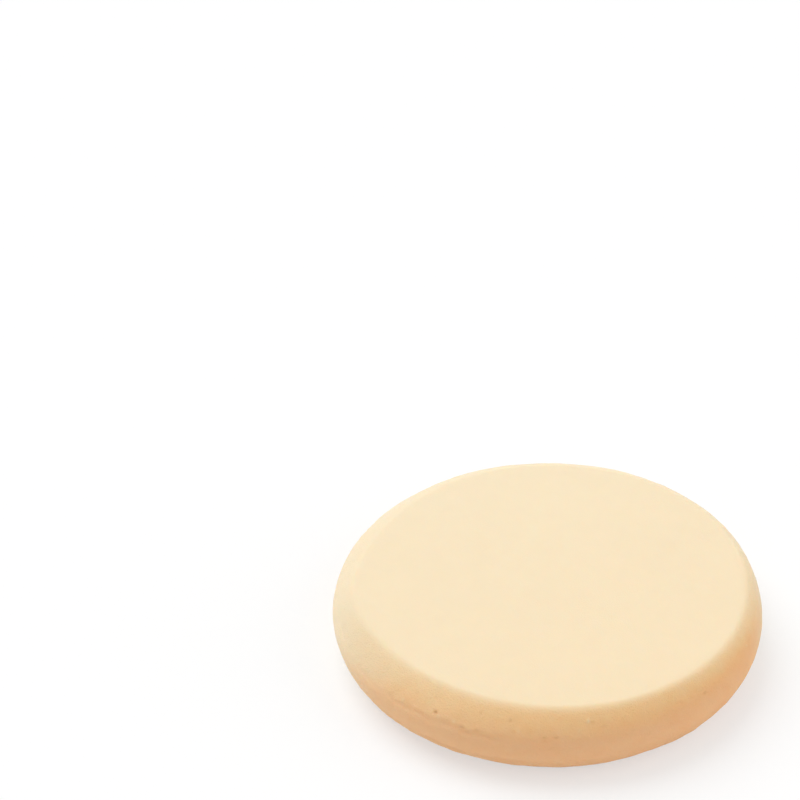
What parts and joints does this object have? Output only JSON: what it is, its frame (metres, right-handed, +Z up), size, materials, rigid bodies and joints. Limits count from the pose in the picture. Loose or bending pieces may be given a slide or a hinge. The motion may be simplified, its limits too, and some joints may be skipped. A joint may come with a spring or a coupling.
{
  "type": "makeup sponge",
  "caption": "Round flat foam sponge for applying makeup, with smooth flat faces and a soft bevel ground round both edges.",
  "frame": {"origin": "centre of the underside, on the surface that the sponge rests on", "axes": "+Z up through the thickness, along the disc's axis; +X towards the side where the upper bevel is narrowest; -Y towards the picture's viewer"},
  "size_m": [0.08, 0.08, 0.0136],
  "materials": {
    "foam": "matte"
  },
  "bodies": {
    "root": {"foam_disc": "foam"}
  },
  "joints": []
}
